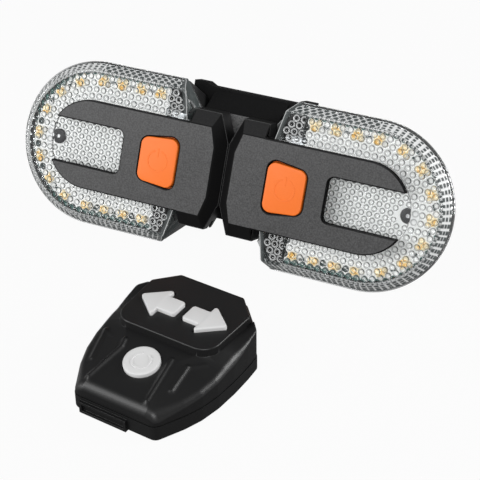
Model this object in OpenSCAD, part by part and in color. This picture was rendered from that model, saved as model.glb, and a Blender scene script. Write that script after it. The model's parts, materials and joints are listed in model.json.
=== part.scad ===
// Bicycle turn signal light: two slide-on lamps on a seat-post bracket, and a handlebar remote.
// Each lamp is drawn in its own frame: x outward from the centre plane, y up, z out of the face,
// with z = 0 on the raised face. Depths are distances behind that face.

/* [Stance] */
// Angle at which the lamps lean back on their bracket, in degrees
lean = 25; // [22:1:28]

/* [Face] */
// Half height of the raised face
face_half_h = 14; // [13:0.5:15]
// Centre of the lamp's round end, from the centre plane
end_x = 45.6; // [43:0.2:52]
// Height of the raised face above the lens
face_h = 2.5; // [2.2:0.1:2.8]
// Inner end of the face, from the centre plane
face_in = 3.2; // [2.6:0.1:4]
// Half height of the straight part of that inner end
face_in_half = 7.8; // [6:0.2:9]
// Run of the cut at the face's inner corners
face_corner = 1.8; // [1:0.1:3]

/* [Inner block] */
// Space between each lamp and the centre plane
centre_gap = 0.15; // [0.1:0.05:0.4]
// Half height of the block behind the face's bevel
block_half_h = 18.2; // [17:0.2:19]
// Half height of the straight part of the block's inner end
block_in_half = 9.5; // [8:0.5:11]
// Run of the cut at the block's inner corners
block_corner = 3.6; // [2.5:0.1:4.5]
// Outer end of the block, from the centre plane
block_x = 12.4; // [12:0.1:13]
// Depth of the bevel round the block
bevel_d = 3; // [2.8:0.1:3.4]
// Depth of the back of the block
block_d = 9.3; // [9:0.1:10]

/* [Lens] */
// Radius of the lens at its rim
lens_r = 25.9; // [25:0.1:28]
// Radius of the lens's flat front
lens_front_r = 23.2; // [22.6:0.1:24]
// Thickness of the lens wall
lens_wall = 1.1; // [0.9:0.1:1.4]
// Depth of the sloped side of the lens
flare_d = 3.7; // [3.2:0.1:4.5]
// Thickness of the rim
rim_t = 1.6; // [1.2:0.1:2.2]
// Step from the sloped side out to the rim
rim_step = 0.5; // [0.3:0.1:0.8]
// Half height at which the lens ends come nearest to the centre plane
nose_y = 17.8; // [16.5:0.1:18.5]
// Run of each lens end from there to the rim
end_run = 6.1; // [4:0.1:8]
// Run of each lens end from there back to the face
nose_run = 1.9; // [1:0.1:2.5]

/* [Window] */
// Inner end of the window between the fingers of the face
window_x = 33.9; // [33:0.1:36]
// Half height of the window
window_half_h = 6.9; // [6:0.1:7.4]
// Radius of the window's corners
window_r = 2; // [1:0.1:3]

/* [Power button] */
// Inner side of the button, from the centre plane
button_x = 14.9; // [14.6:0.1:15.4]
// Width of the button
button_w = 12.35; // [11:0.05:13]
// Half height of its inner side
button_in_half = 7.83; // [7:0.01:8.5]
// Half height of its outer side
button_out_half = 6.74; // [6:0.01:7]
// Radius of its corners
button_r = 2.5; // [1.5:0.1:3]
// How far it stands proud of the face
button_proud = 0.5; // [0.3:0.1:0.7]
// Travel of the button
button_travel = 0.8; // [0.5:0.1:0.8]
// Space round the button
button_gap = 0.25; // [0.2:0.05:0.35]
// Width of the flange that keeps the button in
flange_w = 0.8; // [0.6:0.1:0.9]
// Thickness of that flange
flange_t = 0.8; // [0.6:0.1:0.9]

/* [Rear shell] */
// Depth of the back of the rear shell
shell_d = 16; // [15.6:0.1:18]
// Thickness of the shell's walls
shell_wall = 1.8; // [1.4:0.1:2]
// How far the shell's edge lies inside the lens rim
shell_inset = 0.7; // [0.5:0.1:1.2]
// Radius of the shell's flat back
shell_back_r = 21; // [20:0.1:21.6]
// Thickness of the gasket under the lens rim
seal_t = 0.8; // [0.6:0.1:1.2]
// Width of the gasket
seal_w = 1.8; // [1.2:0.1:1.9]

/* [Board] */
// Thickness of the circuit board
board_t = 1.2; // [1:0.1:1.6]
// How far the board's round end lies inside the lens wall
board_inset = 1.65; // [1.2:0.05:2]
// Inner end of the board's two arms
board_arm_x = 23; // [21:0.1:23.6]
// Half height of the board's tongue under the button
board_tongue_h = 11; // [10:0.1:11.5]
// Height of an LED
led_h = 1; // [0.6:0.1:1.1]
// Length of an LED
led_l = 3; // [2:0.1:3.4]
// Width of an LED
led_w = 2.6; // [2:0.1:2.8]
// Space between the row of LEDs and the lens wall
led_inset = 1.85; // [1.4:0.05:2.6]
// Space between the LEDs and the inside of the lens's front
led_clear = 1; // [0.6:0.05:1.2]
// LEDs round the end
led_arc_count = 7; // [5:2:9]
// Angle from one to the next
led_arc_step = 22.2; // [20:0.1:22.5]
// LEDs on each straight arm
led_arm_count = 4; // [2:1:4]
// Distance from one to the next on the arms
led_arm_step = 6.7; // [5:0.1:6.9]
// Place of the screw that holds the board
board_screw_x = 58.4; // [57:0.1:59.4]
// Radius of that screw's head
board_screw_r = 2.25; // [1.8:0.05:2.5]

/* [Battery and charging] */
// Size of the battery across the lamp
battery_w = 11; // [9:0.5:11.5]
// Size of the battery up the lamp
battery_l = 30; // [24:1:32]
// Thickness of the battery
battery_t = 5.5; // [4:0.1:6]
// Place of the charging socket
usb_x = 40; // [38:0.5:42]
// Length of the charging socket's mouth
usb_l = 9; // [8:0.1:9.4]
// Width of the charging socket's mouth
usb_w = 3.2; // [2.8:0.1:3.4]

/* [Case screws] */
// Place of the screws beside the window
case_screw_x = [30.2, 50];
// Half distance between each pair
case_screw_y = [9, 10.4];
// Radius of a screw's shank
case_screw_r = 0.9; // [0.8:0.05:1]
// Radius of its head
case_head_r = 2; // [1.7:0.1:2.1]

/* [Bracket] */
// Height of the bracket's front edge above the lamps' middle line
bracket_front_y = 17.9; // [17:0.1:19]
// Height of the bracket's top
bracket_top_y = 24.2; // [23:0.1:25]
// Depth over which the top slopes back
bracket_slope_d = 7.5; // [6:0.1:9]
// Drop of the bracket's front wall below the middle line
bracket_low_y = 15; // [13.5:0.1:16]
// Depth of the bracket's back
bracket_back_d = 24; // [23:0.1:26]
// Half length of the bar behind the lamps
wing_x = 20; // [18.5:0.5:26]
// Thickness of that bar
wing_t = 5; // [4:0.1:6]
// Height of the bar's lower edge
wing_low_y = 6; // [2:0.5:10]
// Rise of the bar's ends
wing_rise = 1; // [0.5:0.1:1.5]
// Where the rise begins, from the centre plane
wing_rise_x = 14; // [13:0.1:18]
// Play of the lamps on the bracket
rail_gap = 0.2; // [0.1:0.05:0.25]
// Place of each rail, from the centre plane
rail_x = 6.4; // [6:0.1:6.8]
// Width of a rail's neck
rail_neck_w = 4; // [3:0.1:5]
// Width of a rail's head
rail_head_w = 7; // [6:0.1:7.4]
// Depth of a rail's neck
rail_neck_d = 1.6; // [1.2:0.1:1.8]
// Depth of a rail's head
rail_head_d = 1.5; // [1.2:0.1:1.7]
// Height of a rail's upper end
rail_top_y = 8; // [4:0.5:12]

/* [Seat-post saddle] */
// Radius of the seat post
post_r = 13.6; // [12.7:0.05:15.9]
// Thickness of the rubber pad
pad_t = 2.2; // [1.5:0.1:3]
// Half of the angle that the saddle wraps
saddle_angle = 62; // [57:1:68]
// Depth of the saddle's floor
saddle_floor_d = 29.5; // [28:0.1:32]
// Thickness of the saddle's cheeks
cheek_t = 3; // [2.5:0.1:4]
// Radius of the lugs that a band hooks on
lug_r = 2.2; // [1.8:0.1:2.6]
// Length of the lugs
lug_l = 4.5; // [3.5:0.1:6]
// Radius of the lugs' caps
lug_cap_r = 3.6; // [3:0.1:4.5]

/* [Remote body] */
// Place of the middle of the remote's front edge, sideways
remote_x = 8.2; // [0:0.2:20]
// Distance of that edge in front of the lamps' face line
remote_front = 86.4; // [80:0.2:110]
// Turn of the remote on the table, in degrees
remote_turn = -8.4; // [-20:0.2:20]
// Height of the seam between its shells
seam_h = 5.2; // [5:0.1:5.4]
// Height of the front lip
lip_h = 10; // [9.8:0.1:10.6]
// Height of the top of the ramp
ramp_h = 13.8; // [13.4:0.1:14.2]
// Height of the flat that carries the arrows
deck_h = 16; // [15.6:0.1:17]
// Front edge of that flat
deck_front = 22.2; // [21.8:0.1:22.8]
// Half width of that flat at its rear corners
deck_half_w = 16.9; // [16.6:0.1:17.2]
// Distance of those rear corners from the front edge of the remote
deck_corner_y = 42; // [41:0.1:43]
// Run of its rounded front corners
deck_corner_run = 5.5; // [4.5:0.1:6.5]
// Slope of the step round it
deck_step = 0.5; // [0.4:0.1:1]
// Half width of the ramp at its front
ramp_front_half = 10.2; // [9.8:0.1:10.6]
// Half width of the ramp at its rear
ramp_rear_half = 8.4; // [7.8:0.1:9]
// Reach of the strap lug from the middle to the left
lug_left = 11; // [9:0.1:11.2]
// Reach of the strap lug from the middle to the right
lug_right = 4.4; // [3:0.1:6]
// How far the strap lug stands out of the front
lug_proud = 0.9; // [0.5:0.1:0.9]
// Height of the strap lug's top
lug_top_h = 4.2; // [3.6:0.1:4.6]
// Thickness of the frame round the lug's recess
lug_frame = 0.8; // [0.6:0.1:1]
// Thickness of the remote's walls
remote_wall = 1.6; // [1.2:0.1:1.8]

/* [Remote keys] */
// Travel of the keys
key_travel = 0.7; // [0.4:0.1:0.7]
// Space round the keys
key_gap = 0.25; // [0.2:0.05:0.35]
// How far the keys stand proud
key_proud = 1.1; // [0.8:0.1:1.5]
// Radius of the round key
round_key_r = 5.2; // [4.6:0.1:5.6]
// Place of the round key, from the front edge
round_key_y = 13.6; // [13:0.1:14.2]
// Place of the arrows, from the front edge
arrow_y = 33.8; // [33.4:0.1:34.4]
// Inner end of an arrow's shaft, from the middle
arrow_in = 1.3; // [1.2:0.05:1.6]
// Where an arrow's head begins
arrow_head_x = 6.8; // [6:0.1:7.6]
// Tip of an arrow
arrow_tip_x = 14.4; // [13.5:0.1:14.8]
// Half width of an arrow's shaft
arrow_shaft_half = 3.1; // [2.6:0.1:3.6]
// Half width of an arrow's head
arrow_head_half = 6.3; // [5.6:0.1:6.6]

/* [Remote inside] */
// Radius of the coin cell
cell_r = 10; // [8:0.1:10]
// Thickness of the coin cell
cell_t = 3.2; // [2:0.1:3.2]
// Place of the coin cell, from the front edge
cell_y = 27; // [26:0.1:28]
// Length of the spring strip over the coin cell
clip_l = 14; // [10:0.5:18]
// Width of that strip
clip_w = 5; // [3:0.1:7]
// Thickness of that strip
clip_t = 0.25; // [0.15:0.05:0.4]
// Length of its raised foot
clip_foot = 1.5; // [1:0.1:2.5]
// Height that the shell screws reach
remote_screw_h = 8; // [7:0.1:8.4]
// Thickness of the remote's board
remote_board_t = 1; // [0.8:0.1:1.1]
// Space round the remote's board
remote_board_gap = 1.4; // [1:0.1:2]
// Thickness of the key mat
mat_t = 0.4; // [0.3:0.05:0.45]
// Height of the snap domes
dome_h = 0.4; // [0.3:0.05:0.45]
// Radius of the snap domes
dome_r = 3; // [2:0.1:3.4]

/* [Hidden] */
$fn = 72;
hull_fn = 32;
cut = 0.01;
slip = 0.1;
far = 200;

// Colours of the parts
cover_grey = [0.30, 0.30, 0.31];
case_black = [0.09, 0.09, 0.095];
clear_lens = [0.90, 0.93, 0.94, 0.45];
button_orange = [1.0, 0.45, 0.16];
key_grey = [0.82, 0.82, 0.82];

// Depths that stack up behind the face
lens_in_d = face_h + lens_wall;
rim_top_d = face_h + flare_d;
rim_back_d = rim_top_d + rim_t;
shell_top_d = rim_back_d + seal_t;
board_top_d = lens_in_d + led_clear + led_h;
board_back_d = board_top_d + board_t;
shell_floor_d = shell_d - shell_wall;

// Lens and shell outlines
lens_gap = 0.2;
nose_x = block_x + lens_gap;
well_half_h = face_half_h - 2;
well_x = window_x - 1.6;
shell_r = lens_r - shell_inset;
lip_out_r = shell_r - seal_w - 0.4;
flare_r = lens_r - rim_step;
front_in_r = lens_front_r - lens_wall * 0.7;
rim_in_r = flare_r - lens_wall;
board_r = lens_in_r(board_top_d) - board_inset;
led_row_r = lens_in_r(board_top_d - led_h) - led_inset - led_w / 2;
lip_w = 1;
lip_in_r = min(lip_out_r, board_r) - lip_w;
wall_x = nose_x + shell_wall;

// Room inside the lens at a depth, for what goes in past its rim
function lens_in_r(d) = min(rim_in_r, front_in_r
    + (rim_in_r - front_in_r) * (d - lens_in_d) / (rim_top_d - lens_in_d));

// Power button
button_mid_x = button_x + button_w / 2;
flange_top_d = face_h + slip;
flange_back_d = flange_top_d + flange_t;
switch_top_d = flange_back_d + button_travel + slip;

// Screws
screw_clear = 0.2;
post_wall = 1.5;
head_h = 1.3;
drive_l = 2.4;
drive_w = 0.5;
drive_d = 0.6;
pilot_clear = 0.05;

// Bracket and saddle
bracket_front_d = block_d + rail_gap;
bracket_half_x = block_x - rail_gap;
wing_front_d = shell_d + 2 * rail_gap;
saddle_r = post_r + pad_t;
saddle_mid_d = saddle_floor_d + saddle_r;
tip_d = saddle_mid_d - saddle_r * cos(saddle_angle);
cheek_x = saddle_r * sin(saddle_angle) + cheek_t;

// The lamps stand on the lens rims and on the saddle's lower tips
rest_drop = lens_r * cos(lean) + rim_back_d * sin(lean);
saddle_half_h = (rest_drop - tip_d * sin(lean)) / cos(lean);

// Remote: circles that its plan is drawn round, as [half distance, distance from the front, radius]
remote_rounds = [
    [11.4, 3, 3], [14.7, 9.6, 3], [16.5, 14.6, 3], [17.5, 20, 3], [17.9, 27, 3], [17.8, 34, 3],
    [18, 38.4, 2.5], [10.4, 46.3, 2.5]
];
remote_back = 48.8;
shoulder_front_h = 8.2;
shoulder_tilt = 7.4;
ramp_front = 1;
ramp_tilt = atan((ramp_h - lip_h) / (deck_front - ramp_front));
floor_t = 1.5;
roof_h = 7.6;
roof_tilt = 5.7;
remote_post_at = [[8.2, 6], [13, 40]];
remote_post_r = 2.3;
board_low_h = seam_h + slip;
board_high_h = board_low_h + remote_board_t;
mat_low_h = board_high_h + dome_h + slip;
mat_high_h = mat_low_h + mat_t;
ramp_at_key = lip_h + (round_key_y - ramp_front) * tan(ramp_tilt);
key_flange_w = 0.8;
key_flange_t = 0.9;
key_flange_d = remote_wall + slip;
ramp_in_half = round_key_r + key_flange_w + key_gap;
deck_in = deck_step + remote_wall;

// The origin lies under the middle of the whole set
rear_reach = saddle_half_h * sin(lean) + tip_d * cos(lean);
front_round = remote_rounds[0];
front_reach = remote_front + front_round[2] - front_round[1] * cos(remote_turn)
    + front_round[0] * abs(sin(remote_turn));
shift_y = (front_reach - rear_reach) / 2;

// Places

module stand_lamps() {
    translate([0, shift_y, rest_drop]) rotate([90 - lean, 0, 0]) children();
}

module on_side(side) {
    stand_lamps() mirror([side < 0 ? 1 : 0, 0, 0]) children();
}

module place_remote() {
    translate([remote_x, shift_y - remote_front, 0]) rotate([0, 0, remote_turn]) children();
}

// A plan shape raised between two depths behind the face
module slab(front_d, back_d) {
    translate([0, 0, -back_d]) linear_extrude(back_d - front_d) children();
}

module both_sides() {
    children();
    mirror([1, 0, 0]) children();
}

module top_and_bottom() {
    children();
    mirror([0, 1, 0]) children();
}

// Lamp outlines

module stadium(r, from_x = 0) {
    translate([end_x, 0]) circle(r);
    translate([from_x, -r]) square([end_x - from_x, 2 * r]);
}

module face_outline() {
    translate([end_x, 0]) circle(face_half_h);
    polygon([
        [face_in, -face_in_half], [face_in + face_corner, -face_half_h], [end_x, -face_half_h],
        [end_x, face_half_h], [face_in + face_corner, face_half_h], [face_in, face_in_half]
    ]);
}

module block_outline(out_x) {
    polygon([
        [centre_gap, -block_in_half], [centre_gap + block_corner, -block_half_h], [out_x, -block_half_h],
        [out_x, block_half_h], [centre_gap + block_corner, block_half_h], [centre_gap, block_in_half]
    ]);
}

// The plan that the slanted lens ends leave, moved outward by a wall
module past_ends(shift) {
    rim_run = end_run / (lens_r - nose_y);
    translate([shift, 0]) polygon([
        [nose_x, -nose_y], [nose_x + rim_run * (far - nose_y), -far], [far, -far], [far, far],
        [nose_x + rim_run * (far - nose_y), far], [nose_x, nose_y]
    ]);
}

// A solid with a round end and straight arms, from one profile of [radius, depth] points
module round_ended(profile) {
    mirrored = [for (i = [len(profile) - 1 : -1 : 0]) [-profile[i][0], profile[i][1]]];
    translate([end_x, 0, 0]) rotate_extrude() polygon([for (p = profile) [p[0], -p[1]]]);
    rotate([90, 0, 90]) linear_extrude(end_x)
        polygon([for (p = concat(profile, mirrored)) [p[0], -p[1]]]);
}

module button_outline(grow) {
    out_x = button_x + button_w;
    hull() for (s = [-1, 1]) {
        translate([button_x + button_r, s * (button_in_half - button_r)]) circle(button_r + grow, $fn = hull_fn);
        translate([out_x - button_r, s * (button_out_half - button_r)]) circle(button_r + grow, $fn = hull_fn);
    }
}

module window_outline() {
    translate([window_x + window_r, -window_half_h]) square([far, 2 * window_half_h]);
    translate([window_x, window_r - window_half_h]) square([far, 2 * (window_half_h - window_r)]);
    top_and_bottom() translate([window_x + window_r, window_half_h - window_r]) circle(window_r);
}

module at_case_screws() {
    for (i = [0, 1]) top_and_bottom() translate([case_screw_x[i], case_screw_y[i], 0]) children();
}

module hole(r, front_d, back_d) {
    translate([0, 0, -back_d]) cylinder(r = r, h = back_d - front_d);
}

// Lamp parts

// Dark front cover: the raised face with its two fingers, and the bevel down to the inner block
module front_cover() {
    pilot_top_d = 1;
    color(cover_grey) difference() {
        union() {
            slab(0, face_h) difference() {
                face_outline();
                window_outline();
            }
            hull() {
                slab(0, cut) intersection() {
                    face_outline();
                    translate([0, -far / 2]) square([block_x, far]);
                }
                slab(bevel_d - cut, bevel_d) block_outline(block_x);
            }
            top_and_bottom() translate([case_screw_x[0], case_screw_y[0], 0])
                hole(case_screw_r + 0.9, cut, board_top_d - slip);
        }
        slab(-1, face_h + 1) button_outline(button_gap);
        at_case_screws() hole(case_screw_r + pilot_clear, pilot_top_d, board_top_d);
    }
}

// Clear lens: a ring with a tongue under the window, hollow behind and closed at its two ends
module lens() {
    outside = [[0, face_h], [lens_front_r, face_h], [flare_r, rim_top_d], [lens_r, rim_top_d],
        [lens_r, rim_back_d], [0, rim_back_d]];
    inside = [[0, lens_in_d], [front_in_r, lens_in_d], [rim_in_r, rim_top_d],
        [rim_in_r, rim_back_d + 1], [0, rim_back_d + 1]];
    end_wall = lens_wall * 1.25;
    color(clear_lens) difference() {
        intersection() {
            round_ended(outside);
            slab(0, far) past_ends(0);
        }
        intersection() {
            round_ended(inside);
            slab(lens_in_d, far) past_ends(end_wall);
        }
        slab(0, far) polygon([
            [0, -nose_y], [nose_x, -nose_y], [nose_x + nose_run, -face_half_h], [nose_x + nose_run, -well_half_h],
            [well_x, -well_half_h], [well_x, well_half_h], [nose_x + nose_run, well_half_h],
            [nose_x + nose_run, face_half_h], [nose_x, nose_y], [0, nose_y]
        ]);
        slab(lens_in_d, far) translate([0, -face_half_h]) square([well_x, 2 * face_half_h]);
        at_case_screws() hole(case_screw_r + screw_clear, 0, far);
    }
}

// Rubber gasket between the lens rim and the rear shell
module seal() {
    color([0.2, 0.2, 0.2]) slab(rim_back_d, shell_top_d) intersection() {
        difference() {
            stadium(shell_r);
            stadium(shell_r - seal_w);
        }
        past_ends(0);
    }
}

// Black rear shell: a tapered tub behind the lens, and the solid block that slides on the bracket
module rear_shell() {
    tub = [[0, shell_top_d], [shell_r, shell_top_d], [shell_back_r, shell_d], [0, shell_d]];
    back_in_r = shell_back_r - shell_wall * 0.6;
    inside = [[0, shell_top_d - 1], [lip_in_r, shell_top_d - 1], [lip_in_r, shell_top_d + 1.2],
        [back_in_r, shell_floor_d], [0, shell_floor_d]];
    lip_top_d = board_back_d + slip;
    usb_seat_d = shell_d - 1.2;
    color(case_black) difference() {
        union() {
            intersection() {
                round_ended(tub);
                slab(0, far) past_ends(0);
            }
            slab(lip_top_d, shell_top_d + cut) intersection() {
                difference() {
                    stadium(lip_out_r);
                    stadium(lip_in_r);
                }
                translate([board_arm_x, -far / 2]) square([far, far]);
            }
            slab(bevel_d, block_d) block_outline(block_x);
            slab(switch_top_d + slip, block_d) translate([block_x - 1, slip - face_half_h])
                square([wall_x - block_x + 1, 2 * (face_half_h - slip)]);
        }
        difference() {
            intersection() {
                round_ended(inside);
                slab(0, far) past_ends(shell_wall * 1.25);
            }
            at_case_screws() hole(case_screw_r + screw_clear + post_wall, board_back_d + slip, far);
            translate([board_screw_x, 0, 0]) hole(board_screw_r + 0.6, board_back_d + slip, far);
        }
        at_case_screws() {
            hole(case_screw_r + screw_clear, 0, far);
            hole(case_head_r + screw_clear, shell_d - head_h - screw_clear, far);
        }
        translate([board_screw_x, 0, 0]) hole(0.85, board_back_d, board_back_d + 5.5);
        slab(0, far) translate([usb_x, 0]) square([usb_w + 0.4, usb_l + 0.4], center = true);
        slab(usb_seat_d, far) translate([usb_x, 0]) square([usb_w + 3, usb_l + 3], center = true);
        rail(rail_gap, block_half_h + 1);
    }
}

// T-shaped rail of the bracket; the lamp's channel is the same shape with play all round
module rail(play, drop) {
    neck_d = bracket_front_d - rail_neck_d;
    head_d = neck_d - rail_head_d;
    translate([rail_x, 0]) {
        slab(neck_d - play, bracket_front_d + 1) translate([-rail_neck_w / 2 - play, -drop])
            square([rail_neck_w + 2 * play, drop + rail_top_y + play]);
        slab(head_d - play, neck_d + play) translate([-rail_head_w / 2 - play, -drop])
            square([rail_head_w + 2 * play, drop + rail_top_y + play]);
    }
}

// White circuit board with two arms round the end and a tongue under the button
module led_board() {
    color([0.93, 0.94, 0.92]) slab(board_top_d, board_back_d) difference() {
        union() {
            stadium(board_r, board_arm_x);
            translate([wall_x + 0.6, -board_tongue_h]) square([board_arm_x - wall_x, 2 * board_tongue_h]);
        }
        for (i = [0, 1]) top_and_bottom() translate([case_screw_x[i], case_screw_y[i]])
            circle(case_screw_r + screw_clear);
        translate([board_screw_x, 0]) circle(0.9);
    }
}

module one_led() {
    slab(board_top_d - led_h, board_top_d) square([led_l, led_w], center = true);
}

// Amber LEDs in a row along the arms and round the end
module amber_leds() {
    color([0.98, 0.72, 0.25]) {
        for (i = [0 : led_arc_count - 1]) translate([end_x, 0, 0])
            rotate([0, 0, (i - (led_arc_count - 1) / 2) * led_arc_step]) translate([led_row_r, 0, 0])
                rotate([0, 0, 90]) one_led();
        for (i = [0 : led_arm_count - 1]) top_and_bottom()
            translate([end_x - i * led_arm_step, led_row_r, 0]) one_led();
    }
}

// Screw that holds the board to its post
module board_screw() {
    color([0.25, 0.25, 0.26]) translate([board_screw_x, 0, 0]) {
        hole(board_screw_r, board_top_d - 0.9, board_top_d);
        hole(0.8, board_top_d, board_back_d + 5);
    }
}

// Soft orange power button with the flange that keeps it in the cover
module power_button() {
    color(button_orange) {
        slab(-button_proud, flange_back_d) button_outline(0);
        slab(flange_top_d, flange_back_d) button_outline(button_gap + flange_w);
    }
}

// Low switch on the board, under the middle of the button
module tact_switch() {
    body_t = (board_top_d - switch_top_d) * 0.6;
    color([0.15, 0.15, 0.16]) translate([button_mid_x, 0, 0]) {
        slab(board_top_d - body_t, board_top_d) square(6, center = true);
        hole(1.5, switch_top_d, board_top_d);
    }
}

// Flat lithium cell with rounded long edges, lying on the shell's floor
module battery() {
    edge = 1;
    color([0.75, 0.77, 0.8]) translate([wall_x + shell_wall + battery_w / 2, battery_l / 2, -shell_floor_d])
        rotate([90, 0, 0]) linear_extrude(battery_l) union() {
            translate([edge - battery_w / 2, 0]) square([battery_w - 2 * edge, battery_t]);
            translate([-battery_w / 2, edge]) square([battery_w, battery_t - 2 * edge]);
            for (s = [-1, 1], h = [edge, battery_t - edge]) translate([s * (battery_w / 2 - edge), h])
                circle(edge);
        }
}

// Charging socket that stands on the back of the board, with its mouth to the rear
module usb_socket() {
    mouth_d = shell_floor_d - 0.3;
    shell_t = 0.3;
    color([0.7, 0.71, 0.73]) translate([usb_x, 0, 0]) difference() {
        slab(board_back_d, mouth_d) square([usb_w, usb_l], center = true);
        slab(board_back_d + 2, mouth_d + 1)
            square([usb_w - 2 * shell_t, usb_l - 2 * shell_t], center = true);
    }
}

// Rubber plug that closes the charging socket, flush with the shell's back
module usb_plug() {
    pad_t = 1.1;
    neck_play = 0.5;
    color([0.13, 0.13, 0.13]) translate([usb_x, 0, 0]) {
        slab(shell_d - pad_t, shell_d) square([usb_w + 2.7, usb_l + 2.7], center = true);
        slab(shell_floor_d - 1.8, shell_d) square([usb_w - 2 * neck_play, usb_l - 2 * neck_play], center = true);
    }
}

// Screws that draw the rear shell up to the cover
module case_screws() {
    tip_d = 1.2;
    color([0.55, 0.56, 0.58]) at_case_screws() difference() {
        union() {
            hole(case_head_r, shell_d - head_h, shell_d - slip);
            hole(case_screw_r, tip_d, shell_d - head_h);
        }
        for (a = [0, 90]) rotate([0, 0, a]) slab(shell_d - slip - drive_d, shell_d)
            square([drive_l, drive_w], center = true);
    }
}

// Bracket parts

// Black bracket: a sloped bar behind the lamps, a rail for each, and a saddle for the seat post
module bracket_bar() {
    color(case_black) stand_lamps() {
        rotate([90, 0, 90]) translate([0, 0, -bracket_half_x]) linear_extrude(2 * bracket_half_x) polygon([
            [-bracket_low_y, -bracket_front_d], [bracket_front_y, -bracket_front_d],
            [bracket_top_y, -bracket_front_d - bracket_slope_d], [bracket_top_y, -wing_front_d - wing_t],
            [saddle_half_h, -bracket_back_d], [-saddle_half_h, -bracket_back_d],
            [-bracket_low_y, -bracket_front_d - bracket_slope_d]
        ]);
        slab(wing_front_d, wing_front_d + wing_t) both_sides() polygon([
            [0, wing_low_y], [wing_x - 4, wing_low_y], [wing_x, wing_low_y + 4],
            [wing_x, bracket_top_y + wing_rise], [wing_rise_x + 2, bracket_top_y + wing_rise],
            [wing_rise_x, bracket_top_y], [0, bracket_top_y]
        ]);
        both_sides() rail(0, bracket_low_y - 0.2);
        rotate([90, 0, 0]) translate([0, 0, -saddle_half_h]) linear_extrude(2 * saddle_half_h) difference() {
            translate([-cheek_x, -tip_d]) square([2 * cheek_x, tip_d - bracket_back_d + 2]);
            translate([0, -saddle_mid_d]) circle(saddle_r + slip);
        }
        both_sides() translate([cheek_x - 1, 0, -saddle_floor_d]) rotate([0, 90, 0]) {
            cylinder(r = lug_r, h = lug_l + 1);
            translate([0, 0, lug_l - 0.5]) cylinder(r = lug_cap_r, h = 1.5);
        }
    }
}

// Rubber pad in the saddle, which grips the seat post
module saddle_pad() {
    pad_half_h = saddle_half_h - 1;
    pad_angle = saddle_angle - 2;
    color([0.12, 0.12, 0.12]) stand_lamps() translate([0, pad_half_h, -saddle_mid_d]) rotate([90, 0, 0])
        rotate([0, 0, 90 - pad_angle]) rotate_extrude(angle = 2 * pad_angle)
            translate([post_r, 0]) square([pad_t, 2 * pad_half_h]);
}

// Remote outlines

module remote_plan(inset) {
    offset(delta = -inset) hull() for (s = [-1, 1], c = remote_rounds) translate([s * c[0], c[1]])
        circle(c[2], $fn = hull_fn);
}

module layer(low, high) {
    translate([0, 0, low]) linear_extrude(high - low) children();
}

// A thin sheet at a height above the front edge, tilted up to the rear
module tilted_sheet(h, tilt) {
    translate([0, 0, h]) rotate([tilt, 0, 0]) linear_extrude(cut) children();
}

// The flat that carries the arrows, with its front corners drawn round in two cuts
module deck_outline(inset) {
    side_half = deck_half_w - 0.5;
    front_half = side_half - deck_corner_run;
    back_half = deck_half_w - 6;
    deck_back = remote_back - 0.5;
    corner_in = deck_corner_run * 0.3 + inset * 0.7;
    polygon([
        [inset - front_half, deck_front + inset], [front_half - inset, deck_front + inset],
        [side_half - corner_in, deck_front + corner_in],
        [side_half - inset, deck_front + deck_corner_run], [deck_half_w - inset, deck_corner_y],
        [back_half - inset / 2, deck_back - inset], [inset / 2 - back_half, deck_back - inset],
        [inset - deck_half_w, deck_corner_y], [inset - side_half, deck_front + deck_corner_run],
        [corner_in - side_half, deck_front + corner_in]
    ]);
}

module arrow_outline(grow) {
    offset(delta = grow) polygon([
        [arrow_in, arrow_y - arrow_shaft_half], [arrow_head_x, arrow_y - arrow_shaft_half],
        [arrow_head_x, arrow_y - arrow_head_half], [arrow_tip_x, arrow_y],
        [arrow_head_x, arrow_y + arrow_head_half], [arrow_head_x, arrow_y + arrow_shaft_half],
        [arrow_in, arrow_y + arrow_shaft_half]
    ]);
}

// Frame of the round key: on the ramp, square to it
module on_ramp() {
    translate([0, round_key_y, ramp_at_key]) rotate([ramp_tilt, 0, 0]) children();
}

module at_remote_posts() {
    both_sides() for (p = remote_post_at) translate([p[0], p[1], 0]) children();
}

// Remote parts

// Upper shell: a ramp for the round key, sloped flanks, and a raised deck for the arrows
module remote_top_shell() {
    color(case_black) place_remote() difference() {
        union() {
            hull() {
                layer(seam_h, seam_h + cut) remote_plan(0);
                tilted_sheet(shoulder_front_h, shoulder_tilt) remote_plan(0.5);
                tilted_sheet(lip_h - ramp_front * tan(ramp_tilt), ramp_tilt) polygon([
                    [-ramp_front_half, ramp_front], [ramp_front_half, ramp_front],
                    [ramp_rear_half, deck_front], [-ramp_rear_half, deck_front]
                ]);
                layer(ramp_h - cut, ramp_h) deck_outline(0);
            }
            hull() {
                layer(ramp_h - 0.5, ramp_h - 0.5 + cut) deck_outline(0);
                layer(deck_h - cut, deck_h) deck_outline(deck_step);
            }
        }
        difference() {
            union() {
                hull() {
                    layer(seam_h - cut, seam_h) remote_plan(remote_wall);
                    tilted_sheet(roof_h, roof_tilt) remote_plan(remote_wall + 0.8);
                }
                layer(seam_h, deck_h - remote_wall) deck_outline(deck_in);
                on_ramp() translate([-ramp_in_half, -ramp_in_half, -4])
                    cube([2 * ramp_in_half, 2 * ramp_in_half, 4 - remote_wall]);
            }
            at_remote_posts() cylinder(r = remote_post_r, h = far);
        }
        at_remote_posts() cylinder(r = case_screw_r + pilot_clear, h = remote_screw_h + screw_clear);
        both_sides() layer(seam_h, far) arrow_outline(key_gap);
        on_ramp() cylinder(r = round_key_r + key_gap, h = 2 * deck_h, center = true);
    }
}

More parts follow.
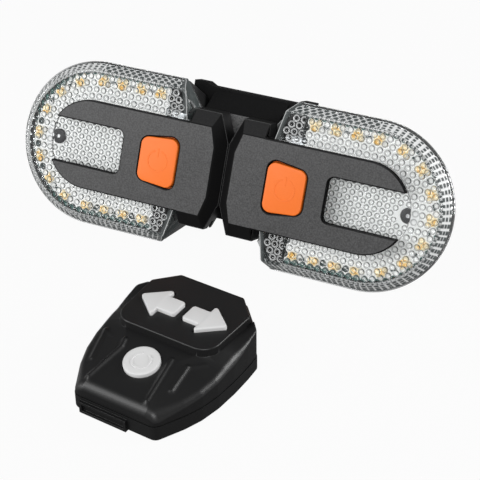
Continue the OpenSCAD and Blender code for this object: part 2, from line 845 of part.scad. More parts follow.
// Lower shell: a tray with a flat underside and a strap lug that stands out of its front
module remote_base_shell() {
    lug_low_h = 0.5;
    color(case_black) place_remote() difference() {
        union() {
            hull() {
                layer(0, cut) remote_plan(0.8);
                layer(1, seam_h - slip / 2) remote_plan(0);
            }
            layer(lug_low_h, lug_top_h) translate([-lug_left, -lug_proud])
                square([lug_left + lug_right, lug_proud + remote_wall]);
        }
        difference() {
            layer(floor_t, seam_h + 1) remote_plan(remote_wall);
            at_remote_posts() cylinder(r = remote_post_r, h = seam_h - slip / 2);
        }
        at_remote_posts() {
            translate([0, 0, -1]) cylinder(r = case_screw_r + screw_clear, h = seam_h + 2);
            translate([0, 0, -1]) cylinder(r = case_head_r + screw_clear, h = 1 + head_h + screw_clear);
        }
        layer(lug_low_h + lug_frame, lug_top_h - lug_frame) translate([lug_frame - lug_left, -lug_proud - 1])
            square([lug_left + lug_right - 2 * lug_frame, 1 + lug_frame]);
    }
}

module arrow_key() {
    flange_high_h = deck_h - key_flange_d;
    color(key_grey) {
        layer(flange_high_h - key_flange_t, deck_h + key_proud) arrow_outline(0);
        layer(flange_high_h - key_flange_t, flange_high_h) intersection() {
            arrow_outline(key_flange_w);
            deck_outline(deck_in + key_gap);
            translate([arrow_in - slip, 0]) square([far, far]);
        }
    }
}

module left_arrow_key() {
    place_remote() mirror([1, 0, 0]) arrow_key();
}

module right_arrow_key() {
    place_remote() arrow_key();
}

// Round key with a flange under the ramp
module round_key() {
    low = key_flange_d + key_flange_t;
    color(key_grey) place_remote() on_ramp() {
        translate([0, 0, -low]) cylinder(r = round_key_r, h = low + key_proud);
        translate([0, 0, -low]) cylinder(r = round_key_r + key_flange_w, h = key_flange_t);
    }
}

// Silicone mat over the snap domes, with a pillar under each key
module key_mat() {
    key_low = key_flange_d + key_flange_t + key_travel;
    arrow_pillar_h = deck_h - key_low - slip;
    round_pillar_h = ramp_at_key - key_low * cos(ramp_tilt) - dome_r * sin(ramp_tilt) - slip;
    color([0.6, 0.6, 0.6]) place_remote() {
        layer(mat_low_h, mat_high_h) difference() {
            intersection() {
                remote_plan(remote_wall + remote_board_gap + slip);
                translate([-far / 2, round_key_y - dome_r - 1]) square([far, far]);
            }
            for (s = [-1, 1]) translate([s * remote_post_at[1][0], remote_post_at[1][1]])
                circle(remote_post_r + key_gap);
        }
        both_sides() translate([arrow_head_x + 1, arrow_y, mat_low_h])
            cylinder(r = dome_r, h = arrow_pillar_h - mat_low_h);
        translate([0, round_key_y, mat_low_h]) cylinder(r = dome_r, h = round_pillar_h - mat_low_h);
    }
}

// Remote's circuit board
module remote_board() {
    color([0.1, 0.35, 0.2]) place_remote() layer(board_low_h, board_high_h) difference() {
        remote_plan(remote_wall + remote_board_gap);
        for (s = [-1, 1], p = remote_post_at) translate([s * p[0], p[1]]) circle(remote_post_r + key_gap);
    }
}

// Snap domes on the board, one under each key
module key_domes() {
    color([0.8, 0.8, 0.78]) place_remote() translate([0, 0, board_high_h]) {
        translate([0, round_key_y, 0]) cylinder(r1 = dome_r, r2 = dome_r * 0.6, h = dome_h);
        both_sides() translate([arrow_head_x + 1, arrow_y, 0])
            cylinder(r1 = dome_r, r2 = dome_r * 0.6, h = dome_h);
    }
}

// Coin cell on the floor of the tray
module coin_cell() {
    edge = 0.3;
    color([0.78, 0.79, 0.8]) place_remote() translate([0, cell_y, floor_t]) rotate_extrude() polygon([
        [0, 0], [cell_r - 1, 0], [cell_r - 1, edge], [cell_r, edge], [cell_r, cell_t - edge],
        [cell_r - edge, cell_t], [0, cell_t]
    ]);
}

// Spring strip between the coin cell and the board
module cell_clip() {
    low = floor_t + cell_t;
    color([0.72, 0.7, 0.6]) place_remote() translate([0, cell_y, low]) {
        translate([-clip_l / 2, -clip_w / 2, 0]) cube([clip_l, clip_w, clip_t]);
        translate([-clip_l / 2, -clip_w / 2, 0]) cube([clip_foot, clip_w, board_low_h - low]);
    }
}

// Screws that join the two shells from below
module remote_screws() {
    color([0.55, 0.56, 0.58]) place_remote() at_remote_posts() difference() {
        union() {
            translate([0, 0, slip * 2]) cylinder(r = case_head_r, h = head_h - slip);
            translate([0, 0, head_h]) cylinder(r = case_screw_r, h = remote_screw_h - head_h);
        }
        for (a = [0, 90]) rotate([0, 0, a]) translate([-drive_l / 2, -drive_w / 2, 0])
            cube([drive_l, drive_w, drive_d + 2 * slip]);
    }
}

bracket_bar();
saddle_pad();

on_side(-1) front_cover();  // left_front_cover
on_side(-1) lens();  // left_lens
on_side(-1) seal();  // left_seal
on_side(-1) rear_shell();  // left_rear_shell
on_side(-1) led_board();  // left_led_board
on_side(-1) amber_leds();  // left_amber_leds
on_side(-1) board_screw();  // left_board_screw
on_side(-1) power_button();  // left_power_button
on_side(-1) tact_switch();  // left_tact_switch
on_side(-1) battery();  // left_battery
on_side(-1) usb_socket();  // left_usb_socket
on_side(-1) usb_plug();  // left_usb_plug
on_side(-1) case_screws();  // left_case_screws

on_side(1) front_cover();  // right_front_cover
on_side(1) lens();  // right_lens
on_side(1) seal();  // right_seal
on_side(1) rear_shell();  // right_rear_shell
on_side(1) led_board();  // right_led_board
on_side(1) amber_leds();  // right_amber_leds
on_side(1) board_screw();  // right_board_screw
on_side(1) power_button();  // right_power_button
on_side(1) tact_switch();  // right_tact_switch
on_side(1) battery();  // right_battery
on_side(1) usb_socket();  // right_usb_socket
on_side(1) usb_plug();  // right_usb_plug
on_side(1) case_screws();  // right_case_screws

remote_top_shell();
remote_base_shell();
left_arrow_key();
right_arrow_key();
round_key();
key_mat();
remote_board();
key_domes();
coin_cell();
cell_clip();
remote_screws();
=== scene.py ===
import json
import math

import bmesh
import bpy
import numpy as np
from mathutils import Matrix, Vector

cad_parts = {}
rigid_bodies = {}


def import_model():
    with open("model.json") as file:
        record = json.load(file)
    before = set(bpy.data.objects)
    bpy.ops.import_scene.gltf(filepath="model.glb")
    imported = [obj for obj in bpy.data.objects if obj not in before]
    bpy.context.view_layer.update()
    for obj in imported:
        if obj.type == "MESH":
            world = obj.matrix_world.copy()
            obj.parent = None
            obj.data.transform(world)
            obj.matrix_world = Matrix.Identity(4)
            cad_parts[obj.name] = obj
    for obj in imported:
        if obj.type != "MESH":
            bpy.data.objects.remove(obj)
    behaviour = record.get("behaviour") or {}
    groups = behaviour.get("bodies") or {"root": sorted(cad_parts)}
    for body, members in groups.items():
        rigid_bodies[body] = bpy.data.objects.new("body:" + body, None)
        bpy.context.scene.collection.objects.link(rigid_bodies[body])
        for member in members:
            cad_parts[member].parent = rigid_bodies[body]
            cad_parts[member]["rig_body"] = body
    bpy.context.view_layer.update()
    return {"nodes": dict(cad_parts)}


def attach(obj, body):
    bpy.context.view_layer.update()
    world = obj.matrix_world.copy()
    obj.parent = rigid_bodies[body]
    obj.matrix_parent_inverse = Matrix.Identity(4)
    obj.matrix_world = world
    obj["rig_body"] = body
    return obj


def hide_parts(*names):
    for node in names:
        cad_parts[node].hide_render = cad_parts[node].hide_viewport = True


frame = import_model()

# Bracket: one black nylon moulding that carries both lamps on T-rails.
# Its sloped top shows between the lamps, and its saddle takes the seat post behind them.
mm = 0.001


class Wire:
    """A socket of a material that takes part in sums; node() adds any other node."""

    def __init__(self, tree, socket=None):
        self.tree, self.socket = tree, socket

    def node(self, kind, settings=(), sockets=(), out=0):
        made = self.tree.nodes.new(kind)
        for name, value in dict(settings).items():
            setattr(made, name, value)
        for name, value in dict(sockets).items():
            if isinstance(value, Wire):
                self.tree.links.new(value.socket, made.inputs[name])
            else:
                made.inputs[name].default_value = value
        return Wire(self.tree, made.outputs[out])

    def math(self, operation, first, second):
        return self.node("ShaderNodeMath", {"operation": operation}, {0: first, 1: second})

    def __add__(self, other):
        return self.math("ADD", self, other)

    def __radd__(self, other):
        return self.math("ADD", other, self)

    def __sub__(self, other):
        return self.math("SUBTRACT", self, other)

    def __rsub__(self, other):
        return self.math("SUBTRACT", other, self)

    def __mul__(self, other):
        return self.math("MULTIPLY", self, other)

    def __rmul__(self, other):
        return self.math("MULTIPLY", other, self)

    def between(self, low, high):
        """The colour between two others at this share."""
        return self.node("ShaderNodeMix", {"data_type": "RGBA"}, {0: self, 6: low, 7: high}, out=2)

    def into(self, shader, name):
        self.tree.links.new(self.socket, shader.inputs[name])


def new_finish(name, **fixed):
    """A material with its shader's fixed values set, and the wire that its nodes start from."""
    finish = bpy.data.materials.new(name)
    finish.use_nodes = True
    shader = finish.node_tree.nodes["Principled BSDF"]
    for socket, value in fixed.items():
        shader.inputs[socket.replace("_", " ")].default_value = value
    return finish, shader, Wire(finish.node_tree)


def tone(shade, factor):
    return (shade[0] * factor, shade[1] * factor, shade[2] * factor, 1.0)


def varied(share, shade, by):
    """A shade that a share makes darker or lighter."""
    return share.between(tone(shade, 1 - by), tone(shade, 1 + by))


def noise(start, size, detail=2.0):
    """Noise over a piece, with blotches of a size in millimetres."""
    place = start.node("ShaderNodeTexCoord", out="Object")
    return start.node("ShaderNodeTexNoise", {}, {"Vector": place, "Scale": 1 / (size * mm), "Detail": detail})


def ranged(value, low, high):
    """A share that is 0 where a value is low and 1 where it is high."""
    return value.node("ShaderNodeMapRange", {}, {"Value": value, "From Min": low, "From Max": high})


def share_along(vector, way):
    """How far a vector goes along a way."""
    return vector.node("ShaderNodeVectorMath", {"operation": "DOT_PRODUCT"}, {0: vector, 1: way}, out="Value")


def grain_bump(fine, depth):
    """The relief of an eroded grain of a depth in millimetres."""
    return fine.node("ShaderNodeBump", {}, {"Height": fine, "Strength": 0.6, "Distance": depth * mm},
                     out="Normal")


mottle_size, mottle_detail = 14.0, 3.0


def moulded(name, shade, rough, grain=0.35, depth=0.02, mottle=0.12, spread=0.08, **fixed):
    """Moulded plastic or rubber: a fine eroded grain in millimetres, a faint mottle and uneven gloss."""
    finish, shader, start = new_finish(name, **fixed)
    fine, broad = noise(start, grain), noise(start, mottle_size, mottle_detail)
    varied(fine * 0.6 + broad * 0.4, shade, mottle).into(shader, "Base Color")
    ((broad - 0.5) * spread + (fine - 0.5) * spread + rough).into(shader, "Roughness")
    grain_bump(fine, depth).into(shader, "Normal")
    return finish


def shown(name, mesh, finish, body, node):
    """Puts a finished mesh in the scene, on its body, in place of the node that it stands for."""
    piece = bpy.data.objects.new(name, mesh)
    bpy.context.scene.collection.objects.link(piece)
    mesh.materials.clear()
    for layer in finish if isinstance(finish, (list, tuple)) else [finish]:
        mesh.materials.append(layer)
    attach(piece, body)
    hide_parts(node)
    return piece


def smoothed(mesh, angle=32):
    mesh.polygons.foreach_set("use_smooth", [True] * len(mesh.polygons))
    mesh.set_sharp_from_angle(angle=math.radians(angle))
    return mesh


def applied(piece):
    """Keeps what a piece's modifiers make of it as its mesh."""
    bpy.context.view_layer.update()
    done = bpy.data.meshes.new_from_object(piece.evaluated_get(bpy.context.evaluated_depsgraph_get()))
    piece.modifiers.clear()
    piece.data = done


def evened(piece):
    """Turns a piece's shading flat on its broad faces, so that only its eased edges look round."""
    even = piece.modifiers.new("even", "WEIGHTED_NORMAL")
    even.keep_sharp = True
    applied(piece)


flat_angle, sharp_angle = math.radians(0.6), math.radians(28)


def eased(node, finish, edge, steps=2, clamp=True, twin=None, weld=0.001):
    """Shows a rigid node, or its mirror twin, with the small radius of a mould on its sharp edges."""
    form = bmesh.new()
    form.from_mesh(frame["nodes"][twin or node].data)
    bmesh.ops.remove_doubles(form, verts=form.verts, dist=weld * mm)
    bmesh.ops.dissolve_limit(form, angle_limit=flat_angle, verts=form.verts, edges=form.edges)
    sharp = [e for e in form.edges if len(e.link_faces) == 2 and e.calc_face_angle() > sharp_angle]
    bmesh.ops.bevel(form, geom=sharp, offset=edge * mm, segments=steps, profile=0.5, affect="EDGES",
                    clamp_overlap=clamp)
    bmesh.ops.dissolve_degenerate(form, dist=1e-7, edges=form.edges)
    if twin:
        bmesh.ops.scale(form, vec=(-1, 1, 1), verts=form.verts)
        bmesh.ops.reverse_faces(form, faces=form.faces)
    mesh = bpy.data.meshes.new(node + "_eased")
    form.to_mesh(mesh)
    form.free()
    body = frame["nodes"][node]["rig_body"]
    evened(shown(node + "_moulding", smoothed(mesh), finish, body, node))


lamp_lean = math.radians(25)
lamp_up = (0, math.sin(lamp_lean), math.cos(lamp_lean))
lamp_front = (0, -math.cos(lamp_lean), math.sin(lamp_lean))
set_back, set_high = 24.3735, 26.770
lamp_stand = (Matrix.Translation((0, set_back * mm, set_high * mm))
              @ Matrix.Rotation(math.pi / 2 - lamp_lean, 4, "X"))


def own_shader(finish):
    """The wire out of the shader that a finish began with."""
    return Wire(finish.node_tree, finish.node_tree.nodes["Principled BSDF"].outputs[0])


def dull_shader(shade, rough, specular, **linked):
    """A second shader for what is dull on a finish, also where shade and glints are painted on it."""
    return shade.node("ShaderNodeBsdfPrincipled", {}, {"Base Color": shade, "Roughness": rough,
                                                       "Specular IOR Level": specular, **linked})


def surfaced(finish, share, low, high):
    """Shows one of two shaders on a finish, by a share."""
    both = share.node("ShaderNodeMixShader", {}, {0: share, 1: low, 2: high})
    both.into(finish.node_tree.nodes["Material Output"], "Surface")


def faced(name, face, side_colour_and_painted_shade, slope_colour_and_painted_shade, rough, grain, depth, spot=(0, 0, 0), reach=1.0):
    """Moulded plastic with a pale eroded grain on its flat fronts within reach of a spot, and dull elsewhere.
    The sides take one tone and the sides that face up another: on the covers these are painted shade, near
    black on the sides and lighter where they face up, as lit from above. A short reach, as on the bracket,
    makes the pale front a painted pool of light."""
    finish, shader, start = new_finish(name)
    place = start.node("ShaderNodeTexCoord", out="Object")
    turned = start.node("ShaderNodeTexCoord", out="Normal")
    away = start.node("ShaderNodeVectorMath", {"operation": "DISTANCE"}, {0: place, 1: spot}, out="Value")
    flat = ranged(share_along(turned, lamp_front), low=0.985, high=0.998)
    flat = flat * start.math("LESS_THAN", away, reach)
    fine, broad = noise(start, grain), noise(start, mottle_size, mottle_detail)
    varied(ranged(fine * 0.85 + broad * 0.15, low=0.36, high=0.64), face, by=0.4).into(shader, "Base Color")
    ((fine - 0.5) * 0.2 + rough).into(shader, "Roughness")
    bump = grain_bump(fine, depth)
    bump.into(shader, "Normal")
    # Sides that face up take the second tone, so that on the covers they are painted lighter, as lit from
    # above.
    upward = (Vector(lamp_front) + Vector(lamp_up)).normalized()
    slant = ranged(share_along(turned, upward), low=0.86, high=0.95)
    sides_own_and_painted_shade = slant.between(varied(fine, side_colour_and_painted_shade, by=0.2), varied(fine, slope_colour_and_painted_shade, by=0.3))
    surfaced(finish, flat, dull_shader(sides_own_and_painted_shade, rough=0.65, specular=0.06, Normal=bump), own_shader(finish))
    return finish


bar_black, bar_painted_light = (0.009, 0.009, 0.0092), (0.1, 0.1, 0.101)
# The black bar's front is painted pale only within reach of a spot between the lamps: a painted pool of light
# there.
between_lamps = lamp_stand @ Vector((0, 13.5 * mm, -10 * mm))
bracket_black = faced("bracket_black", bar_painted_light, bar_black, bar_black, rough=0.42, grain=0.5, depth=0.015,
                      spot=between_lamps, reach=8.5 * mm)
eased("bracket_bar", bracket_black, edge=0.45)

# Saddle pad: a plain soft lining of black rubber, cut from sheet, that grips the seat post.
# It is glued into the saddle of the bracket.
pad_rubber = moulded("pad_rubber", (0.02, 0.02, 0.02), 0.75, grain=0.5, depth=0.03)
eased("saddle_pad", pad_rubber, edge=0.3)

# Rear shells: black tubs behind the lenses, with the blocks that slide on the rails.
# Each holds its battery, board and charging socket, and is screwed to the front cover.
case_black = moulded("case_black", (0.008, 0.008, 0.0083), 0.42, grain=0.3, depth=0.012)
sides = {"left": -1, "right": 1}
for side in sides:
    eased(f"{side}_rear_shell", case_black, edge=0.35)

# Front covers: charcoal moulded faces with a fine eroded grain and two fingers round a window.
# Each is drawn down on its lens by the case screws and has a bevelled inner end.
# The covers' faces keep their own charcoal; their sides and bevels are painted dark as shade, near black on
# the sides and less dark on those that face up, as light from above falls there.
cover_face, cover_painted_side_shade, cover_painted_slope_shade = (0.05, 0.05, 0.051), (0.006, 0.006, 0.0062), (0.024, 0.024, 0.0245)
cover_grey = faced("cover_grey", cover_face, cover_painted_side_shade, cover_painted_slope_shade, rough=0.45, grain=0.45, depth=0.05)
for side in sides:
    twin = "right_front_cover" if side == "left" else None
    eased(f"{side}_front_cover", cover_grey, edge=0.45, steps=3, clamp=False, twin=twin, weld=0.06)

# Power buttons: satin orange plastic keys, each moulded with a raised ring and stroke on its face.
# Each stands in a hole of its cover, and a flange behind the cover keeps it in.


def lamp_place(side):
    """From a lamp's own millimetres, outward, up and out of the face, to the scene."""
    return lamp_stand @ Matrix.Diagonal((sides[side], 1, 1, 1)) @ Matrix.Scale(mm, 4)


def solid_mesh(name, points, faces, place):
    """A closed mesh from points in millimetres, with its faces turned outward."""
    mesh = bpy.data.meshes.new(name)
    mesh.from_pydata([tuple(place @ Vector(p)) for p in points], [], faces)
    form = bmesh.new()
    form.from_mesh(mesh)
    bmesh.ops.recalc_face_normals(form, faces=form.faces)
    form.to_mesh(mesh)
    form.free()
    return mesh


def grown(points, by):
    """A flat outline moved outward by a distance, with its corners kept."""
    ring = [Vector(p) for p in points]
    moved = []
    for i, here in enumerate(ring):
        before = (here - ring[i - 1]).normalized()
        after = (ring[(i + 1) % len(ring)] - here).normalized()
        out = Vector((before.y + after.y, -before.x - after.x))
        moved.append(here + out * (2 * by / max(out.length_squared, 0.2)))
    return [tuple(p) for p in moved]


def rounded(points, radius, steps=6):
    """A flat outline with its corners drawn round."""
    ring = [Vector(p) for p in points]
    radii = radius if isinstance(radius, (list, tuple)) else [radius] * len(ring)
    drawn = []
    for i, here in enumerate(ring):
        before = (ring[i - 1] - here).normalized()
        after = (ring[(i + 1) % len(ring)] - here).normalized()
        half = math.acos(max(-1, min(1, before.dot(after)))) / 2
        run = radii[i] / math.tan(half)
        middle = here + (before + after).normalized() * (radii[i] / math.sin(half))
        first, last = here + before * run - middle, here + after * run - middle
        for k in range(steps + 1):
            drawn.append(tuple(middle + first.lerp(last, k / steps).normalized() * radii[i]))
    return drawn


def stacked(rings):
    """Points and faces of a closed body from like-numbered rings, in order from one end."""
    count = len(rings[0])
    points = [p for ring in rings for p in ring]
    faces = [tuple(range(count)), tuple(range(len(points) - count, len(points)))]
    for low in range(0, len(points) - count, count):
        for i in range(count):
            j = (i + 1) % count
            faces.append((low + i, low + j, low + count + j, low + count + i))
    return points, faces


def at_height(outline, height):
    return [(p[0], p[1], height) for p in outline]


def joined(*bodies):
    """Several sets of points and faces as one."""
    points, faces = [], []
    for more_points, more_faces in bodies:
        faces += [tuple(i + len(points) for i in face) for face in more_faces]
        points += more_points
    return points, faces


def raised_ring(x, top, radius, width, height, opening, steps=40):
    """A low ring on a flat top, with a gap at its upper side."""
    first, last = math.pi / 2 + opening, math.pi * 5 / 2 - opening
    half, foot = width / 2, -0.1
    section = [(-half, foot), (-half * 0.7, height), (half * 0.7, height), (half, foot)]
    rings = []
    for k in range(steps + 1):
        turn = first + (last - first) * k / steps
        rings.append([(x + (radius + out) * math.cos(turn), (radius + out) * math.sin(turn), top + up)
                      for out, up in section])
    return stacked(rings)


button_orange = moulded("button_orange", (0.93, 0.18, 0.012), 0.5, grain=0.25, depth=0.01, mottle=0.03,
                        spread=0.05)
button_corners = [(14.9, -7.83), (27.25, -6.74), (27.25, 6.74), (14.9, 7.83)]
button_round, button_top = 2.5, 0.5
button_levels = [(-3.4, 1.05), (-2.6, 1.05), (-2.55, 0.0), (0.15, 0.0), (0.36, -0.06), (0.46, -0.18),
                 (button_top, -0.4)]
stroke_corners = [(20.85, 1.2), (21.35, 1.2), (21.35, 4.0), (20.85, 4.0)]
stroke_levels = [(0.4, 0.1), (0.57, 0.0)]
button = stacked([at_height(rounded(grown(button_corners, by), max(button_round + by, 0.5)), z)
                  for z, by in button_levels])
mark = raised_ring(21.1, button_top, radius=3.2, width=0.7, height=0.07, opening=0.35)
stroke = stacked([at_height(rounded(grown(stroke_corners, by), 0.1, 2), z) for z, by in stroke_levels])
for side in sides:
    mesh = solid_mesh("button", *joined(button, mark, stroke), lamp_place(side))
    shown(f"{side}_button", smoothed(mesh, angle=40), button_orange, f"{side}_button", f"{side}_power_button")

# LED boards: glass-fibre laminate under a white mask, with a bare green margin, routed to the lens's shape.
# One screw holds each to a post in its shell, and it carries the LEDs and the switch.
end_x, mask_r = 45.6, 21.6
board_white, shader, start = new_finish("board_white")
place = start.node("ShaderNodeTexCoord", out="Object")
turned = start.node("ShaderNodeTexCoord", out="Normal")
front = ranged(share_along(turned, lamp_front), low=0.5, high=0.9)
across = start.math("ABSOLUTE", share_along(place, (1, 0, 0)), 0.0)
height = share_along(place, lamp_up) - (set_back * lamp_up[1] + set_high * lamp_up[2]) * mm
beyond = start.math("MAXIMUM", across - end_x * mm, 0.0)
reach = start.math("POWER", beyond * beyond + height * height, 0.5)
masked = ranged(reach, (mask_r + 0.2) * mm, mask_r * mm)
speck = noise(start, size=2.5, detail=3.0)
white = speck.between((0.82, 0.83, 0.82, 1), (0.9, 0.9, 0.89, 1))
(front * masked).between((0.025, 0.08, 0.07, 1), white).into(shader, "Base Color")
(speck * 0.2 + 0.35).into(shader, "Roughness")
for side in sides:
    eased(f"{side}_led_board", board_white, edge=0.08, steps=1)

# Amber LEDs: surface-mounted packages with a pale body and a domed amber face, in a row along both arms
# of the board and round its end. They are soldered to it, with a small dark chip between each two.
led_body, shader, start = new_finish("led_body", Roughness=0.4)
noise(start, size=0.8).between((0.88, 0.72, 0.45, 1), (0.95, 0.85, 0.62, 1)).into(shader, "Base Color")
led_amber, shader, start = new_finish("led_amber", Roughness=0.18)
speck = ranged(noise(start, size=0.9), low=0.4, high=0.6)
speck.between((0.88, 0.5, 0.12, 1), (0.99, 0.88, 0.58, 1)).into(shader, "Base Color")
chip_dark = moulded("chip_dark", (0.02, 0.035, 0.035), 0.4, grain=0.3)
led_base, led_top, chip_top = -5.6, -4.6, -5.15
led_row, chip_row, led_pitch, led_turn = 20.0, 20.2, 6.7, math.radians(22.2)


def row_spots(row, round_end, on_arm, shift):
    """Places of a row with their turns: so many round the end, and so many on each arm."""
    turns = [led_turn * (i - (round_end - 1) / 2) for i in range(round_end)]
    spots = [(end_x + row * math.cos(a), row * math.sin(a), a + math.pi / 2) for a in turns]
    return spots + [(end_x - led_pitch * (i + shift), s * row, 0.0) for i in range(on_arm) for s in (-1, 1)]


def small_block(half_x, half_y, low, high, ease):
    """A small package: a block with rounded corners and an eased top."""
    corners = [(-half_x, -half_y), (half_x, -half_y), (half_x, half_y), (-half_x, half_y)]
    return stacked([at_height(rounded(grown(corners, by), ease, 3), z)
                    for z, by in ((low, 0.0), (high - ease / 2, 0.0), (high, -ease / 2))])


dome_x, dome_y = 1.42, 1.22
dome_levels = [(1.0, -0.1), (1.0, 0.03), (0.85, 0.14), (0.55, 0.22), (0.2, 0.25)]
dome = stacked([[(dome_x * k * math.cos(t), dome_y * k * math.sin(t), led_top + z)
                 for t in (math.pi * i / 10 for i in range(20))] for k, z in dome_levels])
led = [(small_block(1.5, 1.3, led_base, led_top, ease=0.24), 0), (dome, 1)]
chip = [(small_block(0.85, 0.45, led_base, chip_top, ease=0.1), 2)]
led_spots = row_spots(led_row, round_end=7, on_arm=4, shift=0.0)
chip_spots = row_spots(chip_row, round_end=6, on_arm=3, shift=0.5)
bodies, layers = [], []
for spots, parts in ((led_spots, led), (chip_spots, chip)):
    for x, y, turn in spots:
        spin = Matrix.Translation((x, y, 0)) @ Matrix.Rotation(turn, 4, "Z")
        for (points, faces), layer in parts:
            bodies.append(([tuple(spin @ Vector(p)) for p in points], faces))
            layers += [layer] * len(faces)
led_finishes = [led_body, led_amber, chip_dark]
for side in sides:
    mesh = solid_mesh("leds", *joined(*bodies), lamp_place(side))
    shown(f"{side}_leds", smoothed(mesh), led_finishes, f"{side}_lamp", f"{side}_amber_leds")
    mesh.polygons.foreach_set("material_index", layers)

# Board screws: blackened steel pan heads, whose recess in the middle is finished in bright steel as a painted
# highlight.
# Each shows in the outer end of its window, where it is turned into the shell's post.
screw_dark = moulded("screw_dark", (0.05, 0.05, 0.052), 0.5, grain=0.2, depth=0.01, Specular_IOR_Level=0.2)
screw_painted_highlight, shader, start = new_finish("screw_painted_highlight", Metallic=1.0)
brushed = noise(start, size=0.25, detail=3.0)
brushed.between((0.55, 0.55, 0.56, 1), (0.8, 0.8, 0.8, 1)).into(shader, "Base Color")
(brushed * 0.2 + 0.22).into(shader, "Roughness")
screw_x, recess_r, recess_z = 58.4, 0.65, -5.0
screw_profile = [(0.8, -11.4), (0.8, -5.6), (2.4, -5.6), (2.4, -5.05), (2.25, -4.82), (1.9, -4.7),
                 (0.6, -4.7), (0.5, -4.95), (0.2, -4.95)]


def circle(radius, steps, x=0.0):
    turns = [2 * math.pi * i / steps for i in range(steps)]
    return [(x + radius * math.cos(t), radius * math.sin(t)) for t in turns]


screw = stacked([at_height(circle(r, 36, screw_x), z) for r, z in screw_profile])
for side in sides:
    mesh = solid_mesh("board_screw", *screw, lamp_place(side))
    shown(f"{side}_screw", smoothed(mesh), [screw_dark, screw_painted_highlight], f"{side}_lamp", f"{side}_board_screw")
    for face in mesh.polygons:
        corners = [lamp_place(side).inverted() @ mesh.vertices[i].co for i in face.vertices]
        if all(math.hypot(p.x - screw_x, p.y) < recess_r and p.z > recess_z for p in corners):
            face.material_index = 1

# Lenses: clear polycarbonate mouldings, set with small round caps inside, each of which shows as a ring on
# the white board, partly by bending the light and partly by a painted ring of shade round its edge, and with
# fine bumps on their slopes, painted dark and pale as shade and glints. One ring with closed ends and a
# tongue for the window, both clamped by the cover.
lens_clear, shader, start = new_finish("lens_clear", Base_Color=(0.97, 0.985, 0.99, 1), IOR=1.58,
                                       Transmission_Weight=1.0)
haze = noise(start, size=3.0)
(haze * 0.03 + 0.01).into(shader, "Roughness")
shadow_ray = start.node("ShaderNodeLightPath", out="Is Shadow Ray")
spread_ray = start.node("ShaderNodeLightPath", out="Is Diffuse Ray")
seen_through = 1 - start.math("MAXIMUM", shadow_ray, spread_ray) * 0.94
seen_through.into(shader, "Alpha")
# Two attributes paint light on the lens: how far a point is covered by an opaque coat, and how pale that coat
# is, from painted shade to painted glints, in place of light that the caps and bumps bend and reflect.
flank = start.node("ShaderNodeAttribute", {"attribute_name": "flank"}, out="Fac")
spark = start.node("ShaderNodeAttribute", {"attribute_name": "spark"}, out="Fac")
dark = haze.between((0.035, 0.045, 0.045, 1), (0.09, 0.1, 0.1, 1))
shade = spark.between(dark, (0.9, 0.91, 0.91, 1))
steep = dull_shader(shade, rough=0.4, specular=0.12, Alpha=seen_through)
surfaced(lens_clear, flank, own_shader(lens_clear), steep)
front_z, back_z, rim_z = -2.5, -3.6, -7.8
ring_in, ring_out, end_wall, board_end = 14.05, 25.9, 1.375, 22.6
cap_r, cap_h, cap_pitch, cap_margin, cap_rows = 0.98, 0.45, 2.45, 1.2, (15.2, 17.3, 19.4, 21.4)


def cap_height(distance, radius, height):
    """Height of a round cap at a distance from its middle."""
    ball = (radius ** 2 + height ** 2) / (2 * height)
    inside = np.clip(distance, 0, radius)
    return np.where(distance < radius, np.sqrt(ball ** 2 - inside ** 2) - (ball - height), 0)


def flank_share(distance, radius):
    """How far a point lies on a cap's steep flank, 0 to 1."""
    share = distance / radius
    return np.clip((share - 0.64) / 0.12, 0, 1) * np.clip((1.1 - share) / 0.1, 0, 1)


def nearest(points, spots):
    """Distance from each flat point to the nearest spot."""
    best = np.full(len(points), 1e9)
    for spot in spots:
        best = np.minimum(best, np.hypot(points[:, 0] - spot[0], points[:, 1] - spot[1]))
    return best


def end_line(r):
    """Where the ring begins, at a distance from the middle line."""
    return np.interp(r, [14.2, 17.8, ring_out], [14.5, 12.6, 18.7])


def ring_caps():
    """Places of the caps inside the ring, every other row shifted by half a pitch."""
    spots = []
    for row, r in enumerate(cap_rows):
        odd = row % 2
        first, last = end_x - cap_pitch / (1 + odd), end_line(r) + end_wall + cap_margin
        spots += [(x, s * r) for s in (-1, 1) for x in np.arange(first, last, -cap_pitch)]
        steps = round(math.pi * r / cap_pitch)
        turns = [(k + 0.5 * odd) / steps * math.pi - math.pi / 2 for k in range(steps + 1 - odd)]
        spots += [(end_x + r * math.cos(a), r * math.sin(a)) for a in turns]
    return spots


# Columns round the ring, along the upper arm, round the end and back along the lower arm: each with its part,
# its place there, its inset and whether it is of an end wall, whose edges have their own painted shade and
# painted highlight
end_painted_edges = {0.0: (0.85, 0.0), 0.1: (0.85, 0.9), 0.3: (0.6, 0.1), end_wall: (0.5, 0.0)}
arm_columns, end_columns = 140, 300
arm_steps = [(0.0, inset, True) for inset in end_painted_edges]
arm_steps += [(k / arm_columns, end_wall + 0.02, False) for k in range(arm_columns)]
columns = [("upper", *step) for step in arm_steps]
columns += [("end", math.pi / 2 - math.pi * k / end_columns, 0.0, False) for k in range(end_columns + 1)]
columns += [("lower", *step) for step in reversed(arm_steps)]


def ring_point(r, column):
    """A point of the ring at a radius, on one column."""
    part, at, inset, _ = column
    if part == "end":
        return end_x + r * math.cos(at), r * math.sin(at)
    begin = end_line(r) + inset
    return begin + at * (end_x - begin), r if part == "upper" else -r


slope_mid = 23.3


def slope_run(column):
    """Distance of a column along the slopes, from the top of the end."""
    part, at, inset, _ = column
    if part == "end":
        return slope_mid * (math.pi / 2 - at)
    left = (1 - at) * (end_x - end_line(slope_mid) - inset)
    return -left if part == "upper" else slope_mid * math.pi + left


